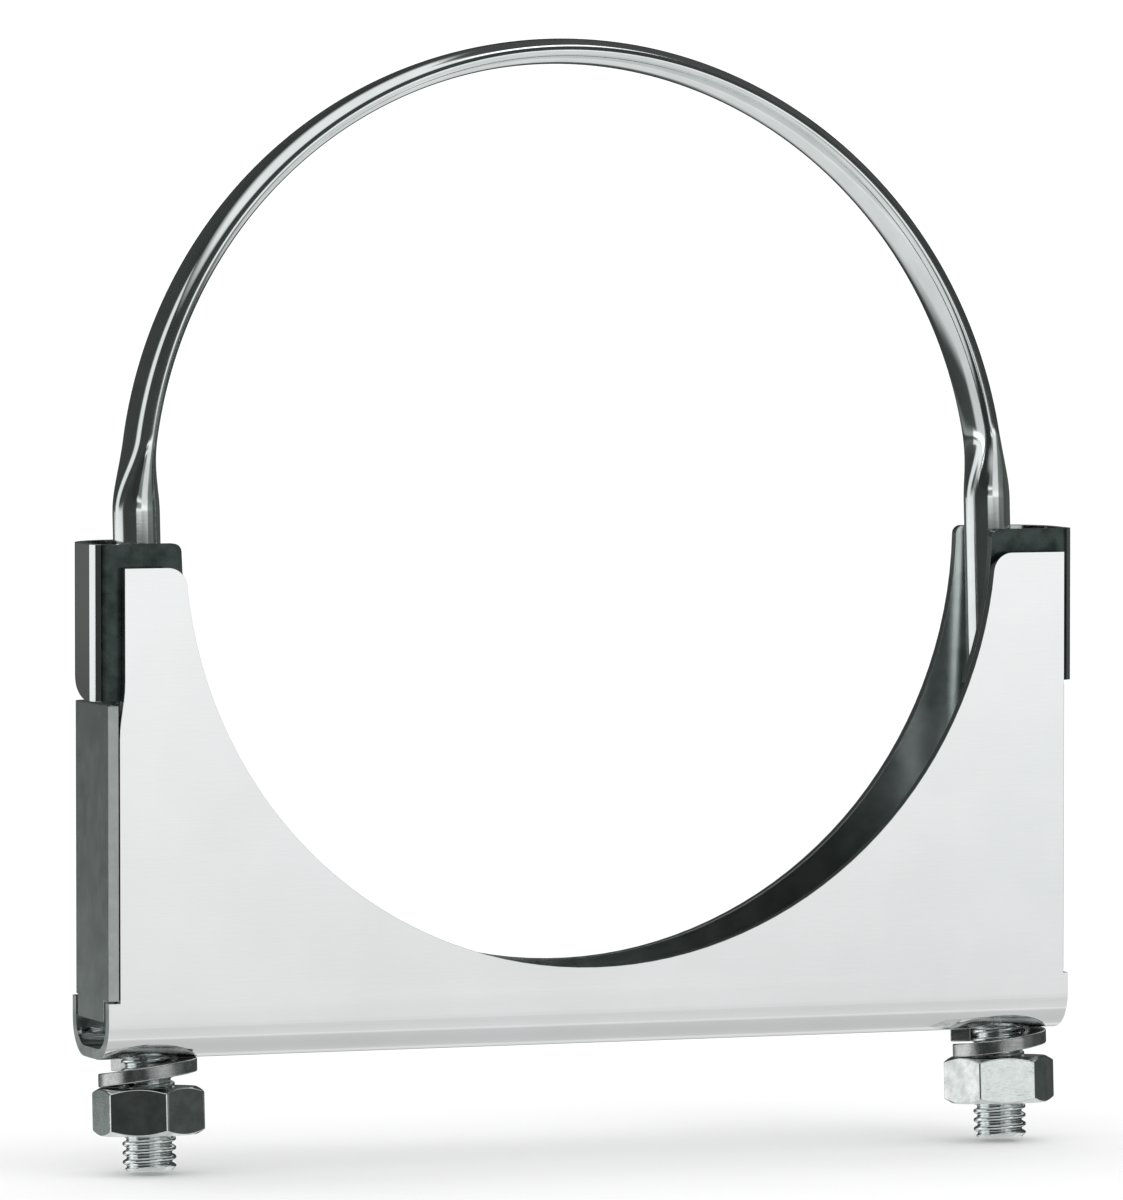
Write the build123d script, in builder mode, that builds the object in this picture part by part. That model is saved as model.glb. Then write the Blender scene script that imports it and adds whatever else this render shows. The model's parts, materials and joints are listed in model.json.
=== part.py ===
from build123d import *

import math
import os

os.makedirs("parts", exist_ok=True)

# A loose exhaust clamp: a folded sheet saddle, a U-bolt with a flattened bow, two nuts and two
# spring lock washers. The origin is on the pipe's axis, halfway through the saddle. +X runs along
# the saddle, +Y is the pipe's axis and points away from the front plate, +Z points up to the bow.

# Pipe and folded saddle
PIPE_RADIUS = 76.2
SADDLE_DEPTH = 20.5
SHEET = 1.9
HALF_LENGTH = 90.3
BOTTOM_Z = -90.1
FOLD_RADIUS = 6.5
STEP_Z = -79.85
LEG_X = 80.4
WEB_HOLE_RADIUS = 6.35

# Front plate
FRONT_EAR_Z = -4.4
FRONT_EAR_RADIUS = 3.5
FRONT_LEFT_UPPER_X = -87.2
FRONT_LEFT_LOWER_X = -88.2
FRONT_RIGHT_X = 89.4
FRONT_EASE_TOP_Z = -24.0
FRONT_EASE_BOTTOM_Z = -34.0

# Back plate
BACK_EAR_Z = -0.3
BACK_EAR_RADIUS = 1.5
BACK_STEP_Z = -28.2

# Collars: upper tabs of the back plate, wrapped round the legs and tucked behind the front plate
COLLAR_BOTTOM_Z = -27.5
COLLAR_OUTER_X = 92.3
COLLAR_BACK_BEND = 8.55
COLLAR_FRONT_BEND = 1.55
COLLAR_GAP = 0.15
COLLAR_REACH_X = 66.0
COLLAR_OVERLAP = 3.0
RELIEF_RADIUS = 10.0
RELIEF_Y = -4.5
RELIEF_START = 1.2
RELIEF_REACH = 10.0
CUT_MARGIN = 0.25

# End flanges: lower tabs of the back plate, folded across the open ends. The left one is flush
# with the front plate, and the right one stops behind it.
FLANGE_BOTTOM_Z = -79.45
FLANGE_BEND = 1.65
FLANGE_OVERLAP = 1.7
LEFT_FLANGE_SETBACK = 0.1
RIGHT_FLANGE_SETBACK = 2.0
TONGUE_HALF_WIDTH = 7.3
TONGUE_BOTTOM_Z = -83.3

# U-bolt, loose in the saddle and leaning back
LEAN_DEGREES = 3.4
LEG_Y = 3.9
BOW_CENTRE_Z = 4.7
ROD_RADIUS = 4.15
BAND_THICKNESS = 4.4
BAND_WIDTH = 12.0
BAND_CROWN = 0.2
ROUND_UNTIL_DEGREES = 1.6
FLAT_FROM_DEGREES = 5.8
BOLT_END_Z = -110.0
THREAD_PITCH = 25.4 / 16
THREAD_TURNS = 24
THREAD_RADIUS = 4.7
THREAD_ROOT_RADIUS = 3.95
THREAD_CREST = 0.2
END_CHAMFER = 0.7

# Nuts and spring lock washers
NUT_ACROSS_FLATS = 17.46
NUT_HEIGHT = 8.3
NUT_BORE_RADIUS = 4.76
NUT_MOUTH = 0.4
NUT_FACE_RADIUS = 8.45
NUT_CORNER_DROP = 0.95
LEFT_NUT_TURN = -29.5
RIGHT_NUT_TURN = -13.0
WASHER_INNER_RADIUS = 4.95
WASHER_OUTER_RADIUS = 8.65
WASHER_THICKNESS = 2.4
WASHER_RISE = 2.6
WASHER_ARC_DEGREES = 335.0
LEFT_WASHER_START = 146.0
RIGHT_WASHER_START = 175.0
CLEARANCE = 0.05
EDGE_SEARCH = 0.5

half_depth = SADDLE_DEPTH / 2
sheet_centre = SHEET / 2
back_centre_y = half_depth - sheet_centre
collar_x = COLLAR_OUTER_X - sheet_centre
collar_front_y = -half_depth + SHEET + COLLAR_GAP + sheet_centre
collar_start_x = collar_x - COLLAR_BACK_BEND
flange_x = HALF_LENGTH - sheet_centre
flange_start_x = flange_x - FLANGE_BEND
relief_top_z = COLLAR_BOTTOM_Z + RELIEF_RADIUS

# The bolt, nuts and washers are drawn upright and then leaned back together about the X axis.
lean = math.radians(LEAN_DEGREES)
lean_back = Location((0, LEG_Y, 0), (-LEAN_DEGREES, 0, 0))
fold_centre_y = FOLD_RADIUS - half_depth
fold_centre_z = BOTTOM_Z + FOLD_RADIUS
seat_z = fold_centre_z * math.cos(lean) + (fold_centre_y - LEG_Y) * math.sin(lean) - FOLD_RADIUS
washer_top_z = seat_z - CLEARANCE
washer_bottom_z = washer_top_z - WASHER_THICKNESS - WASHER_RISE
nut_bottom_z = washer_bottom_z - CLEARANCE - NUT_HEIGHT


# Saddle: one blank, folded double over a flat web with round corners
with BuildPart() as saddle:
    with BuildSketch(Plane.YZ.offset(-HALF_LENGTH)):
        with BuildLine():
            FilletPolyline(
                (-back_centre_y, STEP_Z),
                (-back_centre_y, BOTTOM_Z + sheet_centre),
                (back_centre_y, BOTTOM_Z + sheet_centre),
                (back_centre_y, STEP_Z),
                radius=FOLD_RADIUS - sheet_centre,
            )
        trace(line_width=SHEET)
    extrude(amount=2 * HALF_LENGTH)

    # The front plate narrows slightly towards its left ear.
    with BuildSketch(Plane.XZ.offset(half_depth - SHEET)):
        with BuildLine():
            Polyline(
                (FRONT_LEFT_LOWER_X, FRONT_EASE_BOTTOM_Z),
                (FRONT_LEFT_LOWER_X, STEP_Z),
                (FRONT_RIGHT_X, STEP_Z),
                (FRONT_RIGHT_X, FRONT_EAR_Z),
                (FRONT_LEFT_UPPER_X, FRONT_EAR_Z),
                (FRONT_LEFT_UPPER_X, FRONT_EASE_TOP_Z),
            )
            Spline(
                (FRONT_LEFT_UPPER_X, FRONT_EASE_TOP_Z),
                (FRONT_LEFT_LOWER_X, FRONT_EASE_BOTTOM_Z),
                tangents=((0, -1), (0, -1)),
            )
        make_face()
        Circle(PIPE_RADIUS, mode=Mode.SUBTRACT)
    extrude(amount=SHEET)

    # The back plate is narrower where the collars leave it.
    with BuildSketch(Plane.XZ.offset(-half_depth)):
        with Locations((0, STEP_Z)):
            Rectangle(2 * collar_start_x, BACK_EAR_Z - STEP_Z, align=(Align.CENTER, Align.MIN))
            Rectangle(2 * flange_start_x, BACK_STEP_Z - STEP_Z, align=(Align.CENTER, Align.MIN))
        Circle(PIPE_RADIUS, mode=Mode.SUBTRACT)
    extrude(amount=SHEET)

    for side, flange_setback in ((-1, LEFT_FLANGE_SETBACK), (1, RIGHT_FLANGE_SETBACK)):
        # The collar wraps round the leg.
        with BuildSketch(Plane.XY.offset(COLLAR_BOTTOM_Z)):
            with BuildLine():
                FilletPolyline(
                    (side * (collar_start_x - COLLAR_OVERLAP), back_centre_y),
                    (side * collar_x, back_centre_y),
                    (side * collar_x, collar_front_y),
                    (side * COLLAR_REACH_X, collar_front_y),
                    radius=(COLLAR_BACK_BEND, COLLAR_FRONT_BEND),
                )
            trace(line_width=SHEET)
        extrude(amount=BACK_EAR_Z - COLLAR_BOTTOM_Z)

        # Its lower back corner is relieved in a curve.
        with BuildSketch(Plane.YZ.offset(side * (collar_start_x + RELIEF_START))):
            with BuildLine():
                Polyline(
                    (RELIEF_Y, COLLAR_BOTTOM_Z),
                    (RELIEF_Y, COLLAR_BOTTOM_Z - CUT_MARGIN),
                    (half_depth + CUT_MARGIN, COLLAR_BOTTOM_Z - CUT_MARGIN),
                    (half_depth + CUT_MARGIN, relief_top_z),
                    (RELIEF_Y + RELIEF_RADIUS, relief_top_z),
                )
                RadiusArc(
                    (RELIEF_Y + RELIEF_RADIUS, relief_top_z),
                    (RELIEF_Y, COLLAR_BOTTOM_Z),
                    RELIEF_RADIUS,
                )
            make_face()
        extrude(amount=side * RELIEF_REACH, mode=Mode.SUBTRACT)

        # The flange closes the end, with a tongue that drops inside the fold.
        with BuildSketch(Plane.XY.offset(FLANGE_BOTTOM_Z)):
            with BuildLine():
                FilletPolyline(
                    (side * (flange_start_x - FLANGE_OVERLAP), back_centre_y),
                    (side * flange_x, back_centre_y),
                    (side * flange_x, -half_depth + flange_setback),
                    radius=FLANGE_BEND,
                )
            trace(line_width=SHEET)
        extrude(amount=BACK_STEP_Z - FLANGE_BOTTOM_Z)
        with BuildSketch(Plane.XY.offset(TONGUE_BOTTOM_Z)):
            with Locations((side * flange_x, 0)):
                Rectangle(SHEET, 2 * TONGUE_HALF_WIDTH)
        extrude(amount=FLANGE_BOTTOM_Z - TONGUE_BOTTOM_Z)

        # The leg leaves through a loose hole in the web.
        with BuildSketch(Plane.XY.offset(BOTTOM_Z)):
            with Locations((side * LEG_X, 0)):
                Circle(WEB_HOLE_RADIUS)
        extrude(amount=FOLD_RADIUS, mode=Mode.SUBTRACT)

    # The collars' hidden fronts are cut to the pipe like the two plates.
    with BuildSketch(Plane.XZ):
        Circle(PIPE_RADIUS)
    extrude(amount=half_depth, both=True, mode=Mode.SUBTRACT)

    # The ears' inner corners are rounded.
    front_corners = (
        saddle.edges()
        .filter_by(Axis.Y)
        .filter_by(lambda e: abs(abs(e.center().X) - PIPE_RADIUS) < EDGE_SEARCH)
        .filter_by(lambda e: e.center().Z > FRONT_EAR_Z - EDGE_SEARCH)
        .filter_by(lambda e: e.center().Y < SHEET - half_depth)
    )
    fillet(front_corners, radius=FRONT_EAR_RADIUS)
    back_corners = (
        saddle.edges()
        .filter_by(Axis.Y)
        .filter_by(lambda e: abs(abs(e.center().X) - PIPE_RADIUS) < EDGE_SEARCH)
        .filter_by(lambda e: e.center().Z > BACK_EAR_Z - EDGE_SEARCH)
    )
    fillet(back_corners, radius=BACK_EAR_RADIUS)

saddle.part.label = "saddle"
export_step(saddle.part, "parts/saddle.step")


# U-bolt: round legs, and a bow rolled flat across the pipe
bow_axis = Axis((0, 0, BOW_CENTRE_Z), (0, -1, 0))
thread_top_z = BOLT_END_Z + THREAD_TURNS * THREAD_PITCH
diagonal = ROD_RADIUS / math.sqrt(2)
band_flat_x = BAND_THICKNESS / 2 - BAND_CROWN
band_flat_y = BAND_WIDTH / 2 - band_flat_x


def bow_plane(degrees):
    """The plane square to the bow, at an angle up from the right leg."""
    angle = math.radians(degrees)
    return Plane(
        origin=(LEG_X * math.cos(angle), 0, BOW_CENTRE_Z + LEG_X * math.sin(angle)),
        x_dir=(0, 1, 0),
        z_dir=(-math.sin(angle), 0, math.cos(angle)),
    )


def four_arcs(corner_x, corner_y, tip_x, tip_y):
    """A closed outline of four arcs through corners and tips, from round to nearly flat."""
    ThreePointArc((corner_x, -corner_y), (tip_x, 0), (corner_x, corner_y))
    ThreePointArc((corner_x, corner_y), (0, tip_y), (-corner_x, corner_y))
    ThreePointArc((-corner_x, corner_y), (-tip_x, 0), (-corner_x, -corner_y))
    ThreePointArc((-corner_x, -corner_y), (0, -tip_y), (corner_x, -corner_y))


with BuildPart() as u_bolt:
    # The right leg, from the top of its thread to where the rod starts to flatten
    with BuildSketch(Plane.XY.offset(thread_top_z)):
        with Locations((LEG_X, 0)):
            Circle(ROD_RADIUS)
    extrude(amount=BOW_CENTRE_Z - thread_top_z)
    with BuildSketch(bow_plane(0)):
        Circle(ROD_RADIUS)
    revolve(axis=bow_axis, revolution_arc=ROUND_UNTIL_DEGREES)
    with BuildSketch(bow_plane(ROUND_UNTIL_DEGREES)):
        with BuildLine():
            four_arcs(diagonal, diagonal, ROD_RADIUS, ROD_RADIUS)
        make_face()
    with BuildSketch(bow_plane(FLAT_FROM_DEGREES)):
        with BuildLine():
            four_arcs(band_flat_y, band_flat_x, BAND_WIDTH / 2, BAND_THICKNESS / 2)
        make_face()
    loft()

    # The thread is a stack of rings with flat crests.
    groove_z = [BOLT_END_Z + turn * THREAD_PITCH for turn in range(1, THREAD_TURNS)]
    outline = [(0, BOLT_END_Z), (THREAD_RADIUS - END_CHAMFER, BOLT_END_Z)]
    outline.append((THREAD_RADIUS, BOLT_END_Z + END_CHAMFER))
    for z in groove_z:
        outline.append((THREAD_RADIUS, z - THREAD_PITCH / 2 + THREAD_CREST))
        outline.append((THREAD_ROOT_RADIUS, z))
        outline.append((THREAD_RADIUS, z + THREAD_PITCH / 2 - THREAD_CREST))
    outline.append((ROD_RADIUS, thread_top_z))
    outline.append((0, thread_top_z))
    with BuildSketch(Plane(origin=(LEG_X, 0, 0), x_dir=(1, 0, 0), z_dir=(0, -1, 0))):
        with BuildLine():
            Polyline(*outline, close=True)
        make_face()
    revolve(axis=Axis((LEG_X, 0, 0), (0, 0, 1)))

    mirror(about=Plane.YZ)

    with BuildSketch(bow_plane(FLAT_FROM_DEGREES)):
        with BuildLine():
            four_arcs(band_flat_y, band_flat_x, BAND_WIDTH / 2, BAND_THICKNESS / 2)
        make_face()
    revolve(axis=bow_axis, revolution_arc=180 - 2 * FLAT_FROM_DEGREES)

u_bolt.part.move(lean_back)
u_bolt.part.label = "u_bolt"
export_step(u_bolt.part, "parts/u_bolt.step")


# Nuts: plain hexagons, chamfered at both faces
nut_corner_radius = NUT_ACROSS_FLATS / math.sqrt(3)

for side, name, turn in ((-1, "left_nut", LEFT_NUT_TURN), (1, "right_nut", RIGHT_NUT_TURN)):
    centre = Vector(side * LEG_X, 0, nut_bottom_z)
    with BuildPart() as nut:
        with BuildSketch(Plane(centre)):
            RegularPolygon(NUT_ACROSS_FLATS / 2, 6, major_radius=False, rotation=turn)
        extrude(amount=NUT_HEIGHT)

        # One turned profile gives the chamfered corners and the countersunk bore.
        with BuildSketch(Plane(origin=centre, x_dir=(1, 0, 0), z_dir=(0, -1, 0))):
            with BuildLine():
                Polyline(
                    (NUT_BORE_RADIUS + NUT_MOUTH, 0),
                    (NUT_FACE_RADIUS, 0),
                    (nut_corner_radius, NUT_CORNER_DROP),
                    (nut_corner_radius, NUT_HEIGHT - NUT_CORNER_DROP),
                    (NUT_FACE_RADIUS, NUT_HEIGHT),
                    (NUT_BORE_RADIUS + NUT_MOUTH, NUT_HEIGHT),
                    (NUT_BORE_RADIUS, NUT_HEIGHT - NUT_MOUTH),
                    (NUT_BORE_RADIUS, NUT_MOUTH),
                    close=True,
                )
            make_face()
        revolve(axis=Axis(centre, (0, 0, 1)), mode=Mode.INTERSECT)

    nut.part.move(lean_back)
    nut.part.label = name
    export_step(nut.part, f"parts/{name}.step")


# Spring lock washers: most of one turn of square-edged wire, still sprung open
washer_middle_radius = (WASHER_INNER_RADIUS + WASHER_OUTER_RADIUS) / 2

for side, name, start in (
    (-1, "left_lock_washer", LEFT_WASHER_START),
    (1, "right_lock_washer", RIGHT_WASHER_START),
):
    washer_radial = Vector(1, 0, 0).rotate(Axis.Z, start)
    centre = Vector(side * LEG_X, 0, washer_bottom_z + WASHER_THICKNESS / 2)
    turned = Plane(origin=centre, x_dir=washer_radial, z_dir=(0, 0, 1))
    coil = turned.location * Helix(
        pitch=WASHER_RISE * 360 / WASHER_ARC_DEGREES,
        height=WASHER_RISE,
        radius=washer_middle_radius,
    )
    wire_end = Plane(
        origin=centre + washer_radial * washer_middle_radius,
        x_dir=washer_radial,
        z_dir=washer_radial.cross(Vector(0, 0, 1)),
    )
    with BuildPart() as lock_washer:
        with BuildSketch(wire_end):
            Rectangle(WASHER_OUTER_RADIUS - WASHER_INNER_RADIUS, WASHER_THICKNESS)
        sweep(path=coil, is_frenet=True)

    lock_washer.part.move(lean_back)
    lock_washer.part.label = name
    export_step(lock_washer.part, f"parts/{name}.step")
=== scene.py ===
import json
import math

import bmesh
import bpy
from mathutils import Matrix, Vector


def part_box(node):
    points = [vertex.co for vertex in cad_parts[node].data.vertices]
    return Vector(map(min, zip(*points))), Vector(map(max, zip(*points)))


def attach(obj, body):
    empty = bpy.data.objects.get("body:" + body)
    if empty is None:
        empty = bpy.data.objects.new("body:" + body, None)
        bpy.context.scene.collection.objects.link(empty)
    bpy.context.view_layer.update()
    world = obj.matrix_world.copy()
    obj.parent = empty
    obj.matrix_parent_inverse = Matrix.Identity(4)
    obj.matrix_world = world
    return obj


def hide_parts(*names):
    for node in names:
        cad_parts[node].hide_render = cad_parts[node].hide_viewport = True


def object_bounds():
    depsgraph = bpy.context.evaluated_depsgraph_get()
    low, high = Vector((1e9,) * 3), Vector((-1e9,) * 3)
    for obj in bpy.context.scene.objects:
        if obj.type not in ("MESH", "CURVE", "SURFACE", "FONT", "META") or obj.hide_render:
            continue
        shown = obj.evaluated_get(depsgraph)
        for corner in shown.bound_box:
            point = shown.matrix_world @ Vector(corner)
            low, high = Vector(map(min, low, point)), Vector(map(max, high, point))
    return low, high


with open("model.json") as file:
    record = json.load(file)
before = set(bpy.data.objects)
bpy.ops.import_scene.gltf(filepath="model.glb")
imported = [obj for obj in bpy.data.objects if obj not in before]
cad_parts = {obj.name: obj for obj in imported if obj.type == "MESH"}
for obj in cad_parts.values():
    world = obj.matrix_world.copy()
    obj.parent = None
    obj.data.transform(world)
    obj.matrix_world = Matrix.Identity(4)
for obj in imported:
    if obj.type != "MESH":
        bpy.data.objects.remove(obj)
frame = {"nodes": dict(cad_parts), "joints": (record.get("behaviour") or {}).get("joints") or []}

CAD_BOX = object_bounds()
MM = 0.001

# The bolt's own frame: upright legs at +-LEG_X, leaned back about X. It comes from the joints.
JOINTS = {joint["name"]: joint for joint in frame["joints"]}
LEAN_AXIS = Vector(JOINTS["u_bolt_draw"]["axis"]).normalized()
LEAN = math.atan2(LEAN_AXIS.y, LEAN_AXIS.z)
NUT_POINT = Vector(JOINTS["right_nut_turn"]["pos_m"])
LEG_X = NUT_POINT.x
LEG_Y = NUT_POINT.y - NUT_POINT.z * math.tan(LEAN)
LEAN_MATRIX = Matrix.Translation((0, LEG_Y, 0)) @ Matrix.Rotation(-LEAN, 4, "X")

# U-bolt. BAND_FULLNESS is the power of the band's outline: 1 is an ellipse, less is fuller.
BOW_CENTRE_Z = 4.7 * MM
BOW_STEPS = 240
ROD_RADIUS = 4.15 * MM
BAND_HALF_WIDTH = 6.0 * MM
BAND_HALF_THICKNESS = 2.2 * MM
BAND_FULLNESS = 0.8
FLAT_FROM_DEGREES = 9.0
SECTION_POINTS = 96
SHANK_RINGS = 10
ROD_SMOOTH_DEGREES = 60
BOLT_END_Z = -110.0 * MM
PITCH = 25.4 / 16 * MM
THREAD_TURNS = 24
THREAD_RADIUS = 4.68 * MM
THREAD_ROOT = 3.97 * MM
THREAD_RINGS = 14
THREAD_ROOT_FLAT = 0.1
THREAD_FLANK = 0.72
RUNOUT_TURNS = 1.3
END_CHAMFER = 0.7 * MM

# Nuts and lock washers
HEX_WEDGE = math.pi / 6
NUT_HALF_FLATS = 8.73 * MM
NUT_CORNER = NUT_HALF_FLATS / math.cos(HEX_WEDGE)
NUT_CORNER_KEPT = 0.992
NUT_HEIGHT = 8.3 * MM
NUT_FACE_RADIUS = 8.45 * MM
NUT_DROP = 0.95 * MM
NUT_BORE = 4.76 * MM
NUT_MOUTH = 0.4 * MM
NUT_COLUMNS = 144
NUT_BEVEL = 0.12 * MM
NUT_SHARP_DEGREES = 25
NUT_TURN = {"left": -29.5, "right": -13.0}
WASHER_INNER = 4.95 * MM
WASHER_OUTER = 8.65 * MM
WASHER_THICKNESS = 2.4 * MM
WASHER_RISE = 2.6 * MM
WASHER_RISE_SHARE = 0.62
WASHER_ARC = 335.0
WASHER_START = {"left": 146.0, "right": 175.0}
WASHER_STATIONS = 120
WASHER_BEVEL = 0.28 * MM
WASHER_SHARP_DEGREES = 35
GAP = 0.05 * MM

# Saddle
SADDLE_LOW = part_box("saddle")[0]
FOLD_RADIUS = 6.5 * MM
SHEET = 1.9 * MM
SHEET_BEVEL = 0.32 * MM
SHEET_BEVEL_DEGREES = 50
SHEET_SHARP_DEGREES = 30
SHEET_WELD = 0.004 * MM
SHEET_MERGE_DEGREES = 0.4
FLANGE_INNER_X = 88.3 * MM
FLANGE_BOTTOM_Z = -83.4 * MM
BACK_PLATE_Y = 8.0 * MM
COLLAR_BOTTOM_Z = -27.5 * MM
FACING = 0.9
FOLD_CENTRE_Y = SADDLE_LOW.y + FOLD_RADIUS
FOLD_CENTRE_Z = SADDLE_LOW.z + FOLD_RADIUS

# Places in the saddle's list of materials, after the bright chrome, which is 0. All three have painted
# shade in their colour.
SHADED, SHEARED_PAINTED_SHADE, DULL_PAINTED_SHADE = 1, 2, 3

SEAT_Z = FOLD_CENTRE_Z * math.cos(LEAN) + (FOLD_CENTRE_Y - LEG_Y) * math.sin(LEAN) - FOLD_RADIUS
WASHER_BOTTOM_Z = SEAT_Z - GAP - WASHER_THICKNESS - WASHER_RISE
NUT_TOP_Z = WASHER_BOTTOM_Z - GAP

# Metals
TINT_FROM = 0.3
TINT_TO = 0.65
WORN_FROM = 0.52
WORN_TO = 0.62
WORN_TINT = (0.93, 0.93, 0.92, 1)
MOTTLE_DETAIL = 5
DRAWN_SCALE = (250, 2600, 2600)
DRAWN_DETAIL = 3
DRAWN_DEPTH = 0.00002

# Studio as the metal sees it. Stops are (place, brightness). Places across are compass angles in
# degrees from straight in front, positive to the right; places up are the sine of the elevation.
WALL_STRIPS = [
    (-180, 0.06), (-142, 0.10), (-135, 0.95), (-91, 0.95), (-84, 0.04), (-16, 0.05),
    (-10, 0.30), (5, 0.32), (9, 1.13), (36, 1.13), (42, 0.30), (66, 0.24),
    (74, 0.08), (155, 0.10), (180, 0.06),
]
LOW_STRIPS = [
    (-180, 0.10), (-165, 0.34), (-152, 0.34), (-146, 2.2), (-84, 2.2), (-76, 0.03),
    (-20, 0.03), (-14, 1.2), (4, 1.2), (8, 0.84), (38, 0.84), (44, 0.20), (90, 0.16),
    (100, 0.06), (180, 0.10),
]
LAYERS = [
    (-1, 0.60), (-0.80, 0.66), (-0.74, 0.90), (-0.70, 0.78), (-0.34, 0.72),
    (-0.24, 0.06), (0.56, 0.04), (0.74, 0.92), (1, 0.95),
]
WALL_REACH = [(-1, 0), (-0.40, 0), (-0.28, 1), (0.01, 1), (0.06, 0), (1, 0)]
LOW_REACH = [(-1, 0), (-0.17, 0), (-0.13, 1), (-0.097, 1), (-0.0935, 0), (1, 0)]
FADE_FROM = -0.10
FADE_TO = -0.03
FADE_LOWEST = 0.72
GREEN_BELOW = 0.5
COOL_DARK = 0.90
COOL_LIGHT = 0.995
CARD_TINT = (0.97, 1, 0.99)

# Cards over the room, then cards over its walls: (across, up) from and to, softness, brightness.
ROOM_CARDS = [
    (((33, 165), (0.45, 1.0)), (7, 0.1), 0.07),
    (((-135, -118), (0.02, 0.52)), (6, 0.04), 0.90),
]
WALL_CARDS = [
    (((-176, -154), (-0.060, -0.02)), (3, 0.004), 0.12),
    (((-149, -80), (-0.066, -0.022)), (3, 0.004), 1.0),
    (((-16, 6), (0.0, 0.042)), (3, 0.006), 1.15),
]
ACROSS = (-180, 180)
UP = (-1, 1)
ROOM_LIGHT = (1.12, 1.12, 1.12, 1)

# Floor, key light and camera
FLOOR_RADIUS = 4.0
FLOOR_SIDES = 96
FLOOR_GAP = 0.5 * MM
FLOOR_TINT = (0.93, 0.93, 0.93, 1)
KEY_PLACE = (0.5, -0.8, 1.3)
KEY_SIZE = 0.5
KEY_POWER = 1.2
CAMERA_AZIMUTH = 20.55
CAMERA_ELEVATION = 3.0
CAMERA_DISTANCE = 1.837
CAMERA_LENS = 311.91
CAMERA_SENSOR = 36
CAMERA_AIM_RIGHT = -2.6 * MM
CAMERA_AIM_UP = -11.9 * MM
CAMERA_REACH = 20


# ---------------------------------------------------------------- mesh helpers
def ease(share):
    """A smooth step from 0 to 1."""
    share = min(max(share, 0), 1)
    return share * share * (3 - 2 * share)


def new_piece(name, vertices, faces, body, node, smooth_degrees):
    """A leaned-back mesh that stands for a CAD node and rides on its body."""
    mesh = bpy.data.meshes.new(name)
    mesh.from_pydata([LEAN_MATRIX @ Vector(v) for v in vertices], [], faces)
    mesh.validate()
    bm = bmesh.new()
    bm.from_mesh(mesh)
    bmesh.ops.recalc_face_normals(bm, faces=bm.faces)
    sharp = math.radians(smooth_degrees)
    for edge in bm.edges:
        edge.smooth = edge.calc_face_angle(0) < sharp
    for face in bm.faces:
        face.smooth = True
    bm.to_mesh(mesh)
    bm.free()
    piece = bpy.data.objects.new(name, mesh)
    bpy.context.scene.collection.objects.link(piece)
    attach(piece, body)
    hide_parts(node)
    return piece


def skin(rings, closed_ends=True):
    """Vertices and faces of a tube through rings of equal length."""
    count = len(rings[0])
    vertices = [point for ring in rings for point in ring]
    faces = []
    for row in range(len(rings) - 1):
        for i in range(count):
            j = (i + 1) % count
            a = row * count
            faces.append((a + i, a + j, a + count + j, a + count + i))
    if closed_ends:
        faces.append(tuple(reversed(range(count))))
        faces.append(tuple(range(len(vertices) - count, len(vertices))))
    return vertices, faces


def add_bevel(piece, width, segments, degrees):
    """Softened edges that catch the light."""
    bevel = piece.modifiers.new("soft_edges", "BEVEL")
    bevel.width = width
    bevel.segments = segments
    bevel.limit_method = "ANGLE"
    bevel.angle_limit = math.radians(degrees)
    bevel.harden_normals = True


# ---------------------------------------------------------------- U-bolt
def rod_section(flatness):
    """The rod's outline as (radial, axial) points: round at 0, the bow's full-sided band at 1."""
    radial_reach = ROD_RADIUS + (BAND_HALF_THICKNESS - ROD_RADIUS) * flatness
    axial_reach = ROD_RADIUS + (BAND_HALF_WIDTH - ROD_RADIUS) * flatness
    power = 1 + (BAND_FULLNESS - 1) * flatness
    points = []
    for i in range(SECTION_POINTS):
        angle = math.tau * i / SECTION_POINTS
        radial = math.copysign(abs(math.cos(angle)) ** power, math.cos(angle))
        axial = math.copysign(abs(math.sin(angle)) ** power, math.sin(angle))
        points.append((radial_reach * radial, axial_reach * axial))
    return points


def thread_radius(z, angle):
    """A right-handed rolled thread that runs out into the shank and is chamfered at its end."""
    turns = (z - BOLT_END_Z) / PITCH
    phase = (turns - angle / math.tau) % 1.0
    rise = ease((1 - abs(2 * phase - 1) - THREAD_ROOT_FLAT) / THREAD_FLANK)
    radius = THREAD_ROOT + (THREAD_RADIUS - THREAD_ROOT) * rise
    runout = min(max((THREAD_TURNS - turns) / RUNOUT_TURNS, 0), 1)
    radius = ROD_RADIUS + (radius - ROD_RADIUS) * runout
    return min(radius, THREAD_RADIUS - END_CHAMFER + z - BOLT_END_Z)


def leg_rings(side):
    """Rings up one leg, from its end to the start of the bow."""
    rings = []
    for row in range(THREAD_TURNS * THREAD_RINGS + 1):
        z = BOLT_END_Z + row * PITCH / THREAD_RINGS
        ring = []
        for i in range(SECTION_POINTS):
            angle = math.tau * i / SECTION_POINTS
            world_angle = angle if side > 0 else math.pi - angle
            radius = thread_radius(z, world_angle)
            ring.append((side * (LEG_X + radius * math.cos(angle)), radius * math.sin(angle), z))
        rings.append(ring)
    thread_top = BOLT_END_Z + THREAD_TURNS * PITCH
    for step in range(1, SHANK_RINGS + 1):
        z = thread_top + (BOW_CENTRE_Z - thread_top) * step / (SHANK_RINGS + 1)
        rings.append([(side * (LEG_X + r), a, z) for r, a in rod_section(0)])
    return rings


def bow_rings():
    """Rings over the bow, from the right leg to the left one."""
    rings = []
    for step in range(BOW_STEPS + 1):
        degrees = 180 * step / BOW_STEPS
        from_leg = min(degrees, 180 - degrees)
        angle = math.radians(degrees)
        ring = []
        for radial, axial in rod_section(ease(from_leg / FLAT_FROM_DEGREES)):
            reach = LEG_X + radial
            ring.append((reach * math.cos(angle), axial, BOW_CENTRE_Z + reach * math.sin(angle)))
        rings.append(ring)
    return rings


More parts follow.
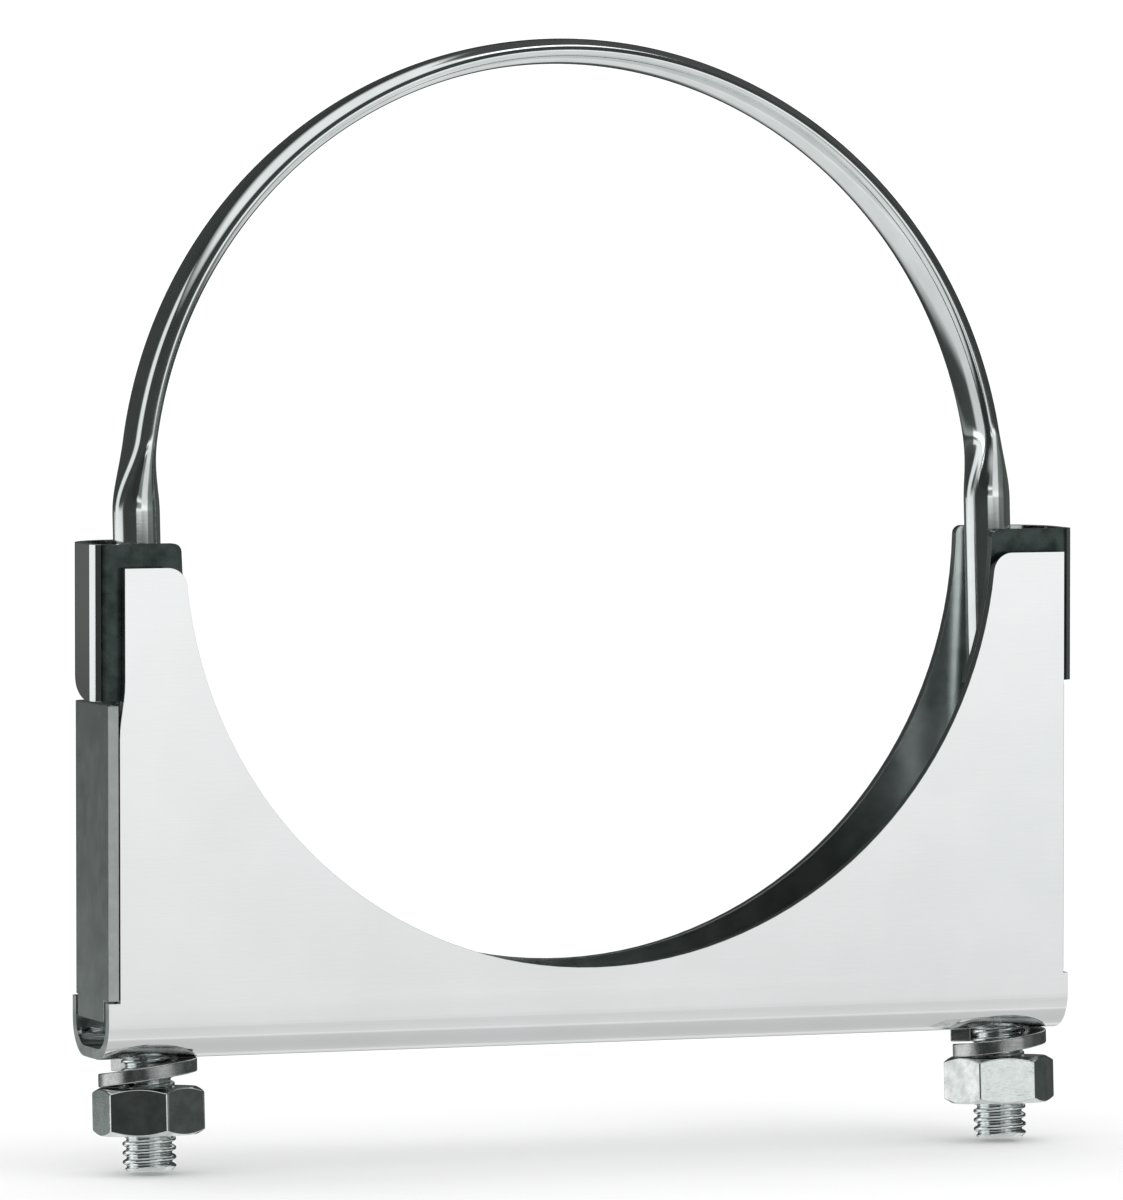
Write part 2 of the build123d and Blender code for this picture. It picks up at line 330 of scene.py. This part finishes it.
def build_u_bolt():
    """One skin from the right leg's end, over the bow, to the left leg's end."""
    left_leg = list(reversed(leg_rings(-1)))
    vertices, faces = skin(leg_rings(1) + bow_rings() + left_leg)
    return new_piece("u_bolt_rod", vertices, faces, "u_bolt", "u_bolt", ROD_SMOOTH_DEGREES)


# ---------------------------------------------------------------- nuts
def hex_radius(angle):
    """Distance to the hexagon's wall, its corners just rounded."""
    wall = (angle + HEX_WEDGE) % (2 * HEX_WEDGE) - HEX_WEDGE
    return min(NUT_HALF_FLATS / math.cos(wall), NUT_CORNER * NUT_CORNER_KEPT)


def build_nut(side_name, side):
    """A hex nut, chamfered at both ends so that the flats end in curves."""
    first_normal = math.radians(-90 + NUT_TURN[side_name])
    slope = NUT_DROP / (NUT_CORNER - NUT_FACE_RADIUS)
    bottom = NUT_TOP_Z - NUT_HEIGHT
    columns = []
    for i in range(NUT_COLUMNS):
        angle = first_normal + math.tau * i / NUT_COLUMNS
        wall = hex_radius(angle - first_normal)
        drop = (wall - NUT_FACE_RADIUS) * slope
        profile = [
            (NUT_BORE, bottom + NUT_MOUTH),
            (NUT_BORE + NUT_MOUTH, bottom),
            (NUT_FACE_RADIUS, bottom),
            (wall, bottom + drop),
            (wall, NUT_TOP_Z - drop),
            (NUT_FACE_RADIUS, NUT_TOP_Z),
            (NUT_BORE + NUT_MOUTH, NUT_TOP_Z),
            (NUT_BORE, NUT_TOP_Z - NUT_MOUTH),
        ]
        columns.append(
            [(side * LEG_X + r * math.cos(angle), r * math.sin(angle), z) for r, z in profile]
        )
    vertices, faces = skin(columns + [columns[0]], closed_ends=False)
    merged = len(columns) * len(columns[0])
    faces = [tuple(v % merged for v in face) for face in faces]
    name = side_name + "_nut"
    piece = new_piece(
        name + "_hex", vertices[:merged], faces, name, name, NUT_SHARP_DEGREES
    )
    add_bevel(piece, NUT_BEVEL, segments=2, degrees=NUT_SHARP_DEGREES)
    return piece


# ---------------------------------------------------------------- lock washers
def build_lock_washer(side_name, side):
    """Square-edged wire coiled into most of one open, right-handed turn."""
    half_width = (WASHER_OUTER - WASHER_INNER) / 2
    middle = (WASHER_OUTER + WASHER_INNER) / 2
    half_height = WASHER_THICKNESS / 2
    rings = []
    for step in range(WASHER_STATIONS + 1):
        share = step / WASHER_STATIONS
        angle = math.radians(WASHER_START[side_name] + WASHER_ARC * share)
        z = WASHER_BOTTOM_Z + half_height + WASHER_RISE * ease(share / WASHER_RISE_SHARE)
        ring = []
        for across, up in ((-1, -1), (1, -1), (1, 1), (-1, 1)):
            radius = middle + across * half_width
            ring.append(
                (side * LEG_X + radius * math.cos(angle), radius * math.sin(angle), z + up * half_height)
            )
        rings.append(ring)
    vertices, faces = skin(rings)
    name = side_name + "_lock_washer"
    piece = new_piece(
        name + "_coil", vertices, faces, name, name, WASHER_SHARP_DEGREES
    )
    add_bevel(piece, WASHER_BEVEL, segments=3, degrees=WASHER_SHARP_DEGREES)
    return piece


# ---------------------------------------------------------------- saddle
def mark_finishes_and_painted_shade(bm):
    """Give the collar fronts, the dull faces and the sheared edges their own materials, each darkened by
    painted shade.
    """
    for face in bm.faces:
        centre = face.calc_center_median()
        faces_front = face.normal.y < -FACING
        behind_front = centre.y > SADDLE_LOW.y + SHEET / 2
        at_end = abs(centre.x) > FLANGE_INNER_X and centre.z < COLLAR_BOTTOM_Z
        # Collar fronts: near-black, a painted dark reflection.
        if faces_front and behind_front and centre.z > COLLAR_BOTTOM_Z and centre.y < 0:
            face.material_index = SHADED
        # Flange cut edges: rough steel with painted shade.
        if faces_front and at_end and centre.z > FLANGE_BOTTOM_Z:
            face.material_index = SHEARED_PAINTED_SHADE
        # Back plate's inner face: rougher plating with painted shade.
        if faces_front and centre.y > BACK_PLATE_Y:
            face.material_index = DULL_PAINTED_SHADE
        # Flange sides get the dull plating with painted shade, and the fold's cut ends below them the
        # sheared edge with painted shade.
        if abs(face.normal.x) > FACING and at_end:
            face.material_index = DULL_PAINTED_SHADE if centre.z > FLANGE_BOTTOM_Z else SHEARED_PAINTED_SHADE


def build_saddle():
    """The folded sheet with its sheared edges softened."""
    mesh = frame["nodes"]["saddle"].data.copy()
    mesh.materials.clear()
    bm = bmesh.new()
    bm.from_mesh(mesh)
    bmesh.ops.remove_doubles(bm, verts=bm.verts, dist=SHEET_WELD)
    merge_angle = math.radians(SHEET_MERGE_DEGREES)
    bmesh.ops.dissolve_limit(bm, angle_limit=merge_angle, verts=bm.verts, edges=bm.edges)
    for face in bm.faces:
        face.smooth = True
    for edge in bm.edges:
        edge.smooth = edge.calc_face_angle(0) < math.radians(SHEET_SHARP_DEGREES)
    mark_finishes_and_painted_shade(bm)
    bm.to_mesh(mesh)
    bm.free()
    # The bright chrome, then the three materials with painted shade.
    for saddle_material in (CHROME, SHADED_CHROME, SHEARED_STEEL_PAINTED_SHADE, DULL_CHROME_PAINTED_SHADE):
        mesh.materials.append(saddle_material)
    piece = bpy.data.objects.new("saddle_sheet", mesh)
    bpy.context.scene.collection.objects.link(piece)
    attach(piece, "saddle")
    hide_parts("saddle")
    add_bevel(piece, SHEET_BEVEL, segments=2, degrees=SHEET_BEVEL_DEGREES)
    flats = piece.modifiers.new("true_flats", "WEIGHTED_NORMAL")
    flats.weight = 100
    flats.keep_sharp = True


# ---------------------------------------------------------------- materials
def metal(name, light, dark, rough, mottle_scale, bump_strength, wear):
    """Plated steel: mottled tint, uneven polish, fine drawn marks and brighter worn edges."""
    material = bpy.data.materials.new(name)
    material.use_nodes = True
    nodes = material.node_tree.nodes
    links = material.node_tree.links
    shader = nodes["Principled BSDF"]
    shader.inputs["Metallic"].default_value = 1.0
    place = nodes.new("ShaderNodeTexCoord")

    mottle = nodes.new("ShaderNodeTexNoise")
    mottle.inputs["Scale"].default_value = mottle_scale
    mottle.inputs["Detail"].default_value = MOTTLE_DETAIL
    links.new(place.outputs["Object"], mottle.inputs["Vector"])
    tint = nodes.new("ShaderNodeValToRGB")
    tint.color_ramp.elements[0].position = TINT_FROM
    tint.color_ramp.elements[0].color = (*dark, 1)
    tint.color_ramp.elements[1].position = TINT_TO
    tint.color_ramp.elements[1].color = (*light, 1)
    links.new(mottle.outputs["Fac"], tint.inputs["Fac"])

    geometry = nodes.new("ShaderNodeNewGeometry")
    worn = nodes.new("ShaderNodeMapRange")
    worn.inputs["From Min"].default_value = WORN_FROM
    worn.inputs["From Max"].default_value = WORN_TO
    worn.inputs["To Max"].default_value = wear
    links.new(geometry.outputs["Pointiness"], worn.inputs["Value"])
    edge = nodes.new("ShaderNodeMix")
    edge.data_type = "RGBA"
    edge.inputs["B"].default_value = WORN_TINT
    links.new(worn.outputs["Result"], edge.inputs["Factor"])
    links.new(tint.outputs["Color"], edge.inputs["A"])
    links.new(edge.outputs["Result"], shader.inputs["Base Color"])

    polish = nodes.new("ShaderNodeMapRange")
    polish.inputs["To Min"].default_value, polish.inputs["To Max"].default_value = rough
    links.new(mottle.outputs["Fac"], polish.inputs["Value"])
    links.new(polish.outputs["Result"], shader.inputs["Roughness"])

    stretch = nodes.new("ShaderNodeMapping")
    stretch.inputs["Scale"].default_value = DRAWN_SCALE
    links.new(place.outputs["Object"], stretch.inputs["Vector"])
    drawn = nodes.new("ShaderNodeTexNoise")
    drawn.inputs["Scale"].default_value = 1.0
    drawn.inputs["Detail"].default_value = DRAWN_DETAIL
    links.new(stretch.outputs["Vector"], drawn.inputs["Vector"])
    bump = nodes.new("ShaderNodeBump")
    bump.inputs["Strength"].default_value = bump_strength
    bump.inputs["Distance"].default_value = DRAWN_DEPTH
    links.new(drawn.outputs["Fac"], bump.inputs["Height"])
    links.new(bump.outputs["Normal"], shader.inputs["Normal"])
    return material


# ---------------------------------------------------------------- stage
def map_range(tree, source, low, high, lowest=0):
    """Stretch a value so that low to high becomes lowest to 1."""
    stretched = tree.nodes.new("ShaderNodeMapRange")
    stretched.inputs["From Min"].default_value = low
    stretched.inputs["From Max"].default_value = high
    stretched.inputs["To Min"].default_value = lowest
    tree.links.new(source, stretched.inputs["Value"])
    return stretched.outputs["Result"]


def math_node(tree, operation, first, second):
    """A maths node on two sockets, or on a socket and a number."""
    node = tree.nodes.new("ShaderNodeMath")
    node.operation = operation
    tree.links.new(first, node.inputs[0])
    if isinstance(second, (int, float)):
        node.inputs[1].default_value = second
    else:
        tree.links.new(second, node.inputs[1])
    return node.outputs["Value"]


def mix(tree, share, behind, front):
    """Blend from behind to front, each a socket or a plain colour."""
    blend = tree.nodes.new("ShaderNodeMix")
    blend.data_type = "RGBA"
    tree.links.new(share, blend.inputs["Factor"])
    for name, value in (("A", behind), ("B", front)):
        if isinstance(value, tuple):
            blend.inputs[name].default_value = value
        else:
            tree.links.new(value, blend.inputs[name])
    return blend.outputs["Result"]


def grey_ramp(tree, source, span, stops):
    """A colour ramp's greys at stops within a span, the dark ones a little green."""
    low, high = span
    ramp = tree.nodes.new("ShaderNodeValToRGB")
    elements = ramp.color_ramp.elements
    elements[0].position = 0
    elements[1].position = 1
    for place, _ in stops[1:-1]:
        elements.new((place - low) / (high - low))
    for element, (_, value) in zip(elements, stops):
        cool = COOL_DARK if value < GREEN_BELOW else COOL_LIGHT
        element.color = (value * cool, value, value * (1 + cool) / 2, 1)
    tree.links.new(source, ramp.inputs["Fac"])
    return ramp.outputs["Color"]


def add_card(tree, behind, sources, extents, softness, value):
    """Lay a soft-edged card over what is behind it. Extents and softness are (across, up)."""
    masks = []
    for source, (start, end), soft, span in zip(sources, extents, softness, (ACROSS, UP)):
        low, high = span
        masks.append(grey_ramp(tree, source, span, [
            (low, 0), (start - soft, 0), (start, 1), (end, 1), (min(end + soft, high), 0), (high, 0),
        ]))
    card = (*(value * part for part in CARD_TINT), 1)
    return mix(tree, math_node(tree, "MULTIPLY", *masks), behind, card)


def studio_world():
    """White light all round; for reflections a white top, light grey floor, dark sides and strips."""
    world = bpy.data.worlds.new("studio")
    bpy.context.scene.world = world
    world.use_nodes = True
    tree = world.node_tree
    place = tree.nodes.new("ShaderNodeTexCoord")
    split = tree.nodes.new("ShaderNodeSeparateXYZ")
    tree.links.new(place.outputs["Generated"], split.inputs["Vector"])
    forward = math_node(tree, "MULTIPLY", split.outputs["Y"], -1)
    compass = math_node(tree, "ARCTAN2", split.outputs["X"], forward)
    across = map_range(tree, compass, -math.pi, math.pi)
    up = map_range(tree, split.outputs["Z"], -1, 1)
    around = (across, up)

    room = grey_ramp(tree, up, UP, LAYERS)
    for card in ROOM_CARDS:
        room = add_card(tree, room, around, *card)

    fade = map_range(tree, split.outputs["Z"], FADE_FROM, FADE_TO, FADE_LOWEST)
    wall = mix(tree, fade, (0, 0, 0, 1), grey_ramp(tree, across, ACROSS, WALL_STRIPS))
    low_wall = grey_ramp(tree, across, ACROSS, LOW_STRIPS)
    wall = mix(tree, grey_ramp(tree, up, UP, LOW_REACH), wall, low_wall)
    room = mix(tree, grey_ramp(tree, up, UP, WALL_REACH), room, wall)

    for card in WALL_CARDS:
        room = add_card(tree, room, around, *card)
    reflected = tree.nodes.new("ShaderNodeLightPath").outputs["Is Glossy Ray"]
    shown = mix(tree, reflected, ROOM_LIGHT, room)
    tree.links.new(shown, tree.nodes["Background"].inputs["Color"])


def build_floor():
    """A pale round floor that the bolt's ends just clear."""
    bpy.ops.mesh.primitive_circle_add(vertices=FLOOR_SIDES, radius=FLOOR_RADIUS, fill_type="NGON")
    floor = bpy.context.object
    floor.name = "floor"
    floor.location.z = CAD_BOX[0][2] - FLOOR_GAP
    floor.visible_glossy = False
    material = bpy.data.materials.new("floor_pale")
    material.use_nodes = True
    shader = material.node_tree.nodes["Principled BSDF"]
    shader.inputs["Base Color"].default_value = FLOOR_TINT
    shader.inputs["Roughness"].default_value = 1.0
    shader.inputs["Specular IOR Level"].default_value = 0.0
    floor.data.materials.append(material)


def build_key_light():
    """A square soft light aimed at the part."""
    light = bpy.data.lights.new("key", "AREA")
    light.size = KEY_SIZE
    light.energy = KEY_POWER
    lamp = bpy.data.objects.new("key", light)
    lamp.location = KEY_PLACE
    lamp.rotation_euler = (-Vector(KEY_PLACE)).to_track_quat("-Z", "Y").to_euler()
    bpy.context.scene.collection.objects.link(lamp)


def build_camera():
    """A long lens from the front left, just above the part."""
    azimuth = math.radians(CAMERA_AZIMUTH)
    elevation = math.radians(CAMERA_ELEVATION)
    level = math.cos(elevation)
    forward = Vector((math.sin(azimuth) * level, math.cos(azimuth) * level, -math.sin(elevation)))
    right = Vector((math.cos(azimuth), -math.sin(azimuth), 0))
    up = right.cross(forward)
    data = bpy.data.cameras.new("camera")
    data.lens = CAMERA_LENS
    data.sensor_width = CAMERA_SENSOR
    data.clip_end = CAMERA_REACH
    camera = bpy.data.objects.new("camera", data)
    aim = right * CAMERA_AIM_RIGHT + up * CAMERA_AIM_UP
    camera.location = aim - forward * CAMERA_DISTANCE
    camera.rotation_euler = forward.to_track_quat("-Z", "Y").to_euler()
    bpy.context.scene.collection.objects.link(camera)
    bpy.context.scene.camera = camera


# ---------------------------------------------------------------- the scene
CHROME = metal(
    "chrome_sheet", light=(0.84, 0.85, 0.86), dark=(0.80, 0.82, 0.82),
    rough=(0.03, 0.09), mottle_scale=60, bump_strength=0.06, wear=0.4,
)
# Near-black chrome for the collar fronts: a painted dark reflection of the surroundings they face, with
# rougher polish.
SHADED_CHROME = metal(
    "chrome_painted_dark_reflection", light=(0.075, 0.095, 0.09), dark=(0.022, 0.032, 0.03),
    rough=(0.2, 0.34), mottle_scale=330, bump_strength=0.35, wear=0,
)
# Sheared edges: rough cut steel whose colour is also darkened as painted shade.
SHEARED_STEEL_PAINTED_SHADE = metal(
    "sheared_edge_painted_shade", light=(0.58, 0.63, 0.62), dark=(0.38, 0.43, 0.42),
    rough=(0.34, 0.5), mottle_scale=300, bump_strength=0.3, wear=0.5,
)
# Flange sides and the back plate's inner face: rougher plating whose colour is darkened as painted
# shade.
DULL_CHROME_PAINTED_SHADE = metal(
    "dull_plating_painted_shade", light=(0.54, 0.60, 0.58), dark=(0.42, 0.47, 0.46),
    rough=(0.20, 0.26), mottle_scale=260, bump_strength=0.3, wear=0.4,
)
CHROME_ROD = metal(
    "chrome_rod", light=(0.84, 0.87, 0.87), dark=(0.74, 0.78, 0.78),
    rough=(0.06, 0.12), mottle_scale=160, bump_strength=0.04, wear=0.3,
)
ZINC = metal(
    "bright_zinc", light=(0.86, 0.88, 0.87), dark=(0.62, 0.66, 0.65),
    rough=(0.05, 0.14), mottle_scale=420, bump_strength=0.3, wear=0.8,
)
DULL_ZINC = metal(
    "dull_zinc", light=(0.60, 0.61, 0.60), dark=(0.36, 0.38, 0.38),
    rough=(0.18, 0.34), mottle_scale=520, bump_strength=0.5, wear=0.8,
)

build_u_bolt().data.materials.append(CHROME_ROD)
build_saddle()
for side_name, side in (("left", -1), ("right", 1)):
    build_nut(side_name, side).data.materials.append(ZINC)
    build_lock_washer(side_name, side).data.materials.append(DULL_ZINC)

studio_world()
build_floor()
build_key_light()
build_camera()
bpy.context.scene.view_settings.view_transform = "Standard"
